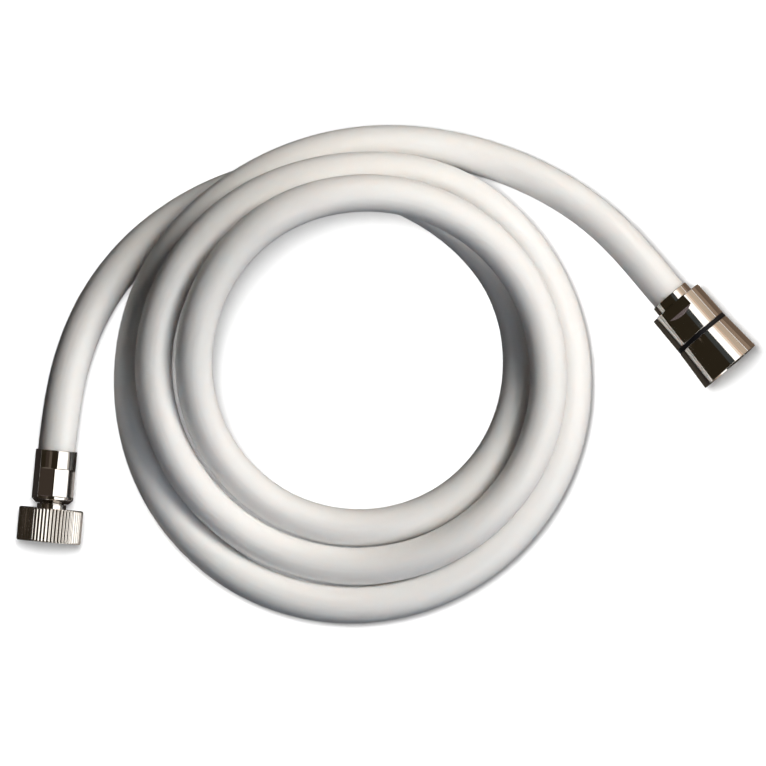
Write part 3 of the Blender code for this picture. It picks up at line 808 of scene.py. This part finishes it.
def make_camera():
    """Straight down from far away, framed as the photograph is."""
    lens = bpy.data.cameras.new("camera")
    lens.sensor_width = SENSOR
    lens.lens = SENSOR * CAMERA_HEIGHT * PIXELS_PER_METRE / PHOTO_SIDE
    lens.clip_start = NEAREST_SEEN
    lens.clip_end = FURTHEST_SEEN
    camera = bpy.data.objects.new("camera", lens)
    camera.location = VIEW_MIDDLE + Vector((0.0, 0.0, CAMERA_HEIGHT))
    bpy.context.scene.collection.objects.link(camera)
    bpy.context.scene.camera = camera


def background_share(tree):
    """1 where a ray comes straight from the camera, or by way of a mirror or glass."""
    path = add(tree, "ShaderNodeLightPath").outputs
    mirrored = add(tree, "ShaderNodeMath", {"operation": "MAXIMUM"},
                   {0: path["Is Camera Ray"], 1: path["Is Glossy Ray"]})
    either = add(tree, "ShaderNodeMath", {"operation": "MAXIMUM"},
                 {0: mirrored.outputs[0], 1: path["Is Transmission Ray"]})
    return either.outputs[0]


def make_world():
    """A white background, and a weak even light from all round."""
    world = bpy.data.worlds.new("pale_room")
    world.use_nodes = True
    tree = world.node_tree
    tree.nodes.clear()
    fill = add(tree, "ShaderNodeBackground", None,
               {"Color": (*linear("E8ECF2"), 1.0), "Strength": ROOM_LIGHT})
    white = add(tree, "ShaderNodeBackground", None, {"Color": (1.0, 1.0, 1.0, 1.0), "Strength": 1.0})
    both = add(tree, "ShaderNodeMixShader", None,
               {0: background_share(tree), 1: fill.outputs[0], 2: white.outputs[0]})
    add(tree, "ShaderNodeOutputWorld", None, {"Surface": both.outputs[0]})
    bpy.context.scene.world = world


def flat_sheet(name, corners, material):
    """One flat face of the stage, which is no part of the object."""
    mesh = bpy.data.meshes.new(name)
    mesh.from_pydata(corners, [], [tuple(range(len(corners)))])
    mesh.materials.append(material)
    sheet = bpy.data.objects.new(name, mesh)
    bpy.context.scene.collection.objects.link(sheet)
    return sheet


def make_floor():
    """Paper that is white for the eye and mirrors, but throws little light back up at the hose."""
    paper = bpy.data.materials.new("white_paper")
    paper.use_nodes = True
    tree = paper.node_tree
    tree.nodes.clear()
    seen = background_share(tree)
    matt = add(tree, "ShaderNodeBsdfDiffuse", None, {"Color": blended(tree, seen, FLOOR_BOUNCE, "FAFAFA")})
    glow = add(tree, "ShaderNodeEmission", None, {"Color": (1.0, 1.0, 1.0, 1.0)})
    spot = add(tree, "ShaderNodeTexCoord").outputs["Object"]
    away = add(tree, "ShaderNodeVectorMath", {"operation": "LENGTH"}, {0: spot})
    pale = add(tree, "ShaderNodeMapRange", None, {
        "Value": away.outputs["Value"], "From Min": GLOW_STARTS, "From Max": GLOW_IS_WHITE,
        "To Min": FLOOR_LIFT, "To Max": 1.0})
    lift = add(tree, "ShaderNodeMath", {"operation": "MULTIPLY"}, {0: seen, 1: pale.outputs["Result"]})
    tree.links.new(lift.outputs[0], glow.inputs["Strength"])
    both = add(tree, "ShaderNodeAddShader", None, {0: matt.outputs[0], 1: glow.outputs[0]})
    add(tree, "ShaderNodeOutputMaterial", None, {"Surface": both.outputs[0]})
    corners = [(x * FLOOR_HALF, y * FLOOR_HALF, 0) for x, y in ((-1, -1), (1, -1), (1, 1), (-1, 1))]
    return flat_sheet("paper_floor", corners, paper)


def studio_card(name, hex_colour, strength, corners):
    """A glowing card that only shows in glossy reflections, the metal's above all: a painted reflection that
    lights nothing.
    """
    card = bpy.data.materials.new(name)
    card.use_nodes = True
    tree = card.node_tree
    tree.nodes.clear()
    glow = add(tree, "ShaderNodeEmission", None, {"Color": (*linear(hex_colour), 1.0), "Strength": strength})
    add(tree, "ShaderNodeOutputMaterial", None, {"Surface": glow.outputs[0]})
    sheet = flat_sheet(name, corners, card)
    sheet.visible_camera = False
    sheet.visible_diffuse = False
    sheet.visible_shadow = False
    sheet.visible_transmission = False
    return sheet


def make_lamp(name, place, size, watts, hex_colour):
    """A square soft lamp that looks at the middle of the coil."""
    lamp = bpy.data.lights.new(name, "AREA")
    lamp.shape = "SQUARE"
    lamp.size = size
    lamp.energy = watts
    lamp.color = linear(hex_colour)
    thing = bpy.data.objects.new(name, lamp)
    thing.location = place
    thing.rotation_euler = Vector(place).to_track_quat("Z", "Y").to_euler()
    thing.visible_glossy = False
    bpy.context.scene.collection.objects.link(thing)
    return thing


def light_only(lamp, thing, state):
    """Keeps a lamp's light on one thing, or off it."""
    group = bpy.data.collections.new(lamp.name + "_light")
    group.objects.link(thing)
    lamp.light_linking.receiver_collection = group
    group.collection_objects[0].light_linking.link_state = state


def floor_card(place, name, hex_colour, strength, lift, across, along):
    """A card on the paper beside a fitting: ranges across it (towards its own +X) and along it."""
    corners = [(across[0], along[0]), (across[1], along[0]), (across[1], along[1]), (across[0], along[1])]
    spots = []
    for side, back in corners:
        spot = place @ Vector((side * MM, 0.0, back * MM))
        spots.append((spot.x, spot.y, lift * MM))
    studio_card(name, hex_colour, strength, spots)


def wall_card(name, hex_colour, strength, first, last, foot, top):
    """An upright card far off, between two directions in degrees and two heights."""
    ends = []
    for degrees in (first, last):
        turn = math.radians(degrees)
        ends.append((ROOM_RADIUS * math.cos(turn), ROOM_RADIUS * math.sin(turn)))
    corners = [(*ends[0], foot), (*ends[1], foot), (*ends[1], top), (*ends[0], top)]
    studio_card(name, hex_colour, strength, corners)


def level_card(name, hex_colour, strength, height, corners):
    """A level card, over the table or on it."""
    studio_card(name, hex_colour, strength, [(x, y, height) for x, y in corners])


def make_light(floor, left, right):
    """Two soft lamps for the hose and the metal, two for the paper alone, and glowing cards that paint the
    chrome's reflections.
    """
    for name, place, size, watts, hex_colour, state in LAMPS:
        light_only(make_lamp(name, place, size, watts, hex_colour), floor, state)
    ring = [(ROOM_RADIUS * math.cos(a), ROOM_RADIUS * math.sin(a)) for a in np.radians(range(0, 360, 30))]
    level_card("dark_ceiling", DARK, 1.0, CEILING, ring)
    for card in LEVEL_CARDS:
        level_card(*card)
    for card in WALL_CARDS:
        wall_card(*card)
    level_card(*DARK_SHEET)
    for card in CARDS_BY_CONE:
        floor_card(right, *card)
    for card in CARDS_BY_KNURL:
        floor_card(left, *card)


def main():
    bpy.context.scene.view_settings.view_transform = "Standard"
    make_camera()
    left = fitting_place("knurled_nut_spin")
    right = fitting_place("cone_nut_spin")
    chrome = polished_chrome()
    thread = plated_thread()
    rubber = punched_rubber()
    far_pieces = make_right_end(right, chrome, thread, rubber, moulded_black())
    make_hose(left, right, extruded_pvc())
    make_left_end(left, chrome, thread, rubber)
    make_world()
    make_light(make_floor(), left, right)


main()
